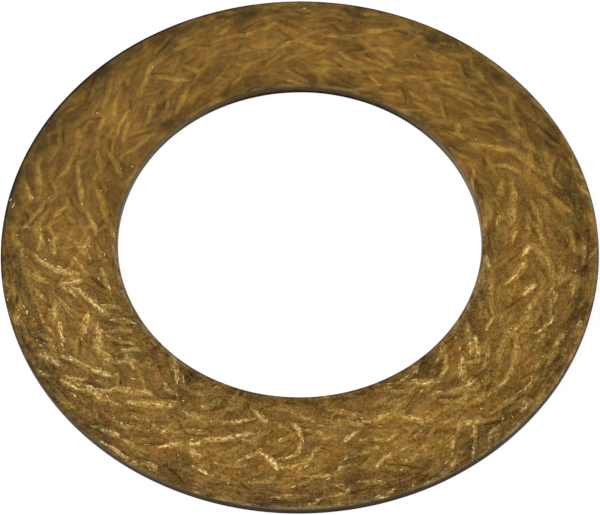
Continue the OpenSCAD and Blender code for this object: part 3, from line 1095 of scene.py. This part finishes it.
def wire_places(strands, count, upwards, chance):
    """Places and directions of the bits, and which are kept. Five in six lie along a strand, drawn by its
    tone^2 * length, and the others anywhere on the face. Fewer are kept the further back they lie."""
    radius = np.sqrt(chance.uniform(bore_r ** 2, outer_r ** 2, count))
    angle = chance.uniform(0, TURN, count)
    x, y = radius * np.cos(angle), radius * np.sin(angle)
    heading = yarn_direction(x, y, chance) + chance.normal(0, 0.3, count)

    on_strands = 5 * count // 6
    weight = strands["tone"] ** 2 * strands["half_length"]
    pick = chance.choice(len(weight), on_strands, p=weight / weight.sum())
    one = {field: values[pick] for field, values in strands.items()}
    along = one["half_length"] * chance.uniform(-0.95, 0.95, on_strands)
    half_width_here = one["half_width"] * np.sqrt(1 - (along / one["half_length"]) ** 2)
    to_edge = half_width_here * chance.uniform(0.2, 1.0, on_strands)
    across = one["bend"] * along ** 2 / 2 + to_edge * np.where(one["tone"] > 0.3, 1, -1)
    cosine, sine = np.cos(one["heading"]), np.sin(one["heading"])
    x[:on_strands] = one["x"] + along * cosine - across * sine
    y[:on_strands] = one["y"] + along * sine + across * cosine
    along_strand = one["heading"] + np.arctan(one["bend"] * along)
    heading[:on_strands] = along_strand + chance.normal(0, 0.12, on_strands)

    distance = np.hypot(x, y)
    often = smooth_step(0.25, -0.60, (y * 0.95 + x * 0.15) / outer_r * upwards) * 0.98 + 0.02
    on_face = (distance > bore_r + wire_rim_land) & (distance < outer_r - wire_rim_land)
    return x, y, heading, on_face & (chance.uniform(0, 1, count) < often)


# %% [markdown]
# The one spindle is then stretched to each bit's own size, turned and moved, all by one sum on whole arrays.
# It is sunk by half its thickness, so that its top lies at the ring's full thickness, where grinding stopped.
# The yarn round it is softer, and wore down a little lower.

# %% Put the bits in place
shortest_half_length, longer_by = 0.28, 0.9
wire_half_widths, wire_half_thick = (0.16, 0.30), 0.04


def wire_bits(name, strands, count, top_z, upwards, seed):
    """One mesh of spindles. Each point is the place plus the stretched spindle's point turned by the heading:
    (x cos - y sin, x sin + y cos). The cube of an even chance makes most bits short."""
    chance = np.random.default_rng(seed)
    x, y, heading, kept = wire_places(strands, count, upwards, chance)
    half_length = chance.uniform(0, 1, count) ** 3 * longer_by + shortest_half_length
    half_width = chance.uniform(*wire_half_widths, count)
    sizes = np.stack([half_length, half_width, np.full(count, wire_half_thick)], axis=-1)
    x, y, heading, sizes = x[kept], y[kept], heading[kept], sizes[kept]
    shape = bit_points[None] * sizes[:, None, :]
    cosine, sine = np.cos(heading)[:, None], np.sin(heading)[:, None]
    placed = np.stack([x[:, None] + shape[..., 0] * cosine - shape[..., 1] * sine,
                       y[:, None] + shape[..., 0] * sine + shape[..., 1] * cosine,
                       top_z + shape[..., 2] - wire_half_thick * upwards], axis=-1)
    corners = bit_triangles[None] + (np.arange(len(x)) * len(bit_points))[:, None, None]
    mesh = bpy.data.meshes.new(name)
    mesh.from_pydata((placed.reshape(-1, 3) * MM).tolist(), [], corners.reshape(-1, 3).tolist())
    mesh.shade_smooth()
    piece = add_to_scene(name, mesh)
    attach(piece, "root")
    print(f"{name}: {len(x)} bits, {len(mesh.polygons)} triangles")
    return piece


upper_wire = wire_bits("upper_wire_bits", upper_strands, count=1150, top_z=thickness, upwards=1, seed=21)
lower_wire = wire_bits("lower_wire_bits", lower_strands, count=700, top_z=0, upwards=-1, seed=22)

# %% [markdown]
# Cut brass is pale and bright when fresh and turns brown with time, so a slow noise blends the two, and makes
# the brown parts rougher. Grinding left fine scratches across the bits.

# %% Finish the brass
brass = Finish(bpy.data.materials.new("cut_brass"))
brass_place = brass.position()
tarnish = brass.between(brass.noise(brass_place, 2.5, 2), -0.8, 0.8)
scratches = brass.noise(brass.vector_maths("MULTIPLY", brass_place, (9, 2, 2)), 1, 1)
brass_colour = brass.blend(tarnish, colour(216, 191, 132), colour(166, 136, 80))
cut_brass = brass.surface(brass_colour, tarnish * 0.15 + 0.38, scratches, strength=0.3, depth=0.01,
                          others={"Metallic": 0.5})
brass.wear(cut_brass, upper_wire, lower_wire)

# %% [markdown]
# The floor
#
# The ring lies on a white floor that keeps its shadow. Light Path tells which rays come straight from the
# camera, from a reflection or through glass. Only these see the floor's own glow, which makes it white and
# throws no more light on the ring. For all other rays the floor is a plain pale grey. Its size and place, and
# those of the lamps and the camera, are in metres.

# %% Floor
floor_half, floor_z = 3.0, -0.00002
floor_mesh = bpy.data.meshes.new("floor")
floor_corners = np.array([(-1, -1, 0), (1, -1, 0), (1, 1, 0), (-1, 1, 0)]) * floor_half + (0, 0, floor_z)
floor_mesh.from_pydata(floor_corners.tolist(), [], [(0, 1, 2, 3)])
floor = add_to_scene("floor", floor_mesh)


def in_sight(finish):
    """1 for rays from the camera, from a reflection or through glass, and 0 for all others."""
    straight, mirrored, through = (finish.node("ShaderNodeLightPath", output=f"Is {kind} Ray")
                                   for kind in ("Camera", "Glossy", "Transmission"))
    return straight.larger(mirrored).larger(through)


def grey(level):
    """The colour input of a node, set to a grey from 0 to 1."""
    return {"Color": (level, level, level, 1)}


paper = Finish(bpy.data.materials.new("white_floor"))
glow = paper.node("ShaderNodeEmission", None, {**grey(1), "Strength": 0.91})
shadowed = paper.node("ShaderNodeBsdfDiffuse", None, grey(0.17))
white = paper.node("ShaderNodeAddShader", None, {0: shadowed, 1: glow})
plain = paper.node("ShaderNodeBsdfDiffuse", None, grey(0.8))
paper.wear(paper.node("ShaderNodeMixShader", None, {0: in_sight(paper), 1: plain, 2: white}), floor)

# %% [markdown]
# The world
#
# The world is an even white sky. It lights the ring at less than half of its strength, so that the lamps can
# give the strands a light and a shaded side, and only looks fully white.

# %% World
studio = Finish(bpy.data.worlds.new("studio"))
lighting, looking = 0.4, 1.0
strength = studio.node("ShaderNodeMapRange", None,
                       {"Value": in_sight(studio), "To Min": lighting, "To Max": looking})
sky = studio.node("ShaderNodeBackground", None, {**grey(1), "Strength": strength})
studio.node("ShaderNodeOutputWorld", None, {"Surface": sky}, output=None)
bpy.context.scene.world = studio.owner
studio.tell("finished")

# %% [markdown]
# Lamps
#
# The photograph's light is soft and comes from high on the left and from the front: the strands have faint
# shades and no hard ones. Two square area lamps give that.

# %% Lamps
def lamp(name, azimuth, elevation, distance, size, level):
    """A square soft lamp aimed at the ring. Azimuth is in degrees from the far side towards the right. Level
    is the brightness it alone gives a white patch that faces it: an area lamp of P watts gives
    P / (pi * distance^2), and a white patch shows that over pi."""
    light = bpy.data.lights.new(name, "AREA")
    light.size = size
    light.energy = level * np.pi ** 2 * distance ** 2
    holder = add_to_scene(name, light)
    turned, raised = np.radians(azimuth), np.radians(elevation)
    outwards, up = distance * np.cos(raised), distance * np.sin(raised)
    spot = Vector((outwards * np.sin(turned), outwards * np.cos(turned), up))
    holder.location = spot
    holder.rotation_euler = spot.to_track_quat("Z", "Y").to_euler()
    print(f"{name}: {light.energy:.2f} W")


lamp("key_lamp", azimuth=-50, elevation=38, distance=1.1, size=0.3, level=0.58)
lamp("front_lamp", azimuth=-150, elevation=50, distance=0.55, size=0.4, level=0.33)

# %% [markdown]
# The camera
#
# The photograph's camera was worked out from the ring itself: seen from the side, its circles turn into
# ellipses, and their shapes and places give the height, the distance and the lens.

# %% The camera
picture_width, focal_length_pixels = 600, 1892.2
camera_elevation, camera_roll = np.radians(58.625), np.radians(-0.559)
camera_distance = 0.63407
slide_right, slide_up = 0.000158, -0.007732

backward = np.array([0, -np.cos(camera_elevation), np.sin(camera_elevation)])
level_right = np.array([1.0, 0, 0])
level_up = np.cross(backward, level_right)
rightward = np.cos(camera_roll) * level_right + np.sin(camera_roll) * level_up
upward = np.cos(camera_roll) * level_up - np.sin(camera_roll) * level_right
aim = np.array([0, 0, thickness * MM])
eye = aim + backward * camera_distance + rightward * slide_right + upward * slide_up

lens = bpy.data.cameras.new("photo_camera")
lens.sensor_width = 36.0
lens.lens = lens.sensor_width * focal_length_pixels / picture_width
camera = add_to_scene("photo_camera", lens)
three_rows = np.column_stack([rightward, upward, backward, eye])
camera.matrix_world = Matrix([*three_rows.tolist(), (0, 0, 0, 1)])
bpy.context.scene.camera = camera
bpy.context.scene.view_settings.view_transform = "Standard"
print(f"lens {lens.lens:.1f} mm, eye at {np.round(eye, 3).tolist()} m")
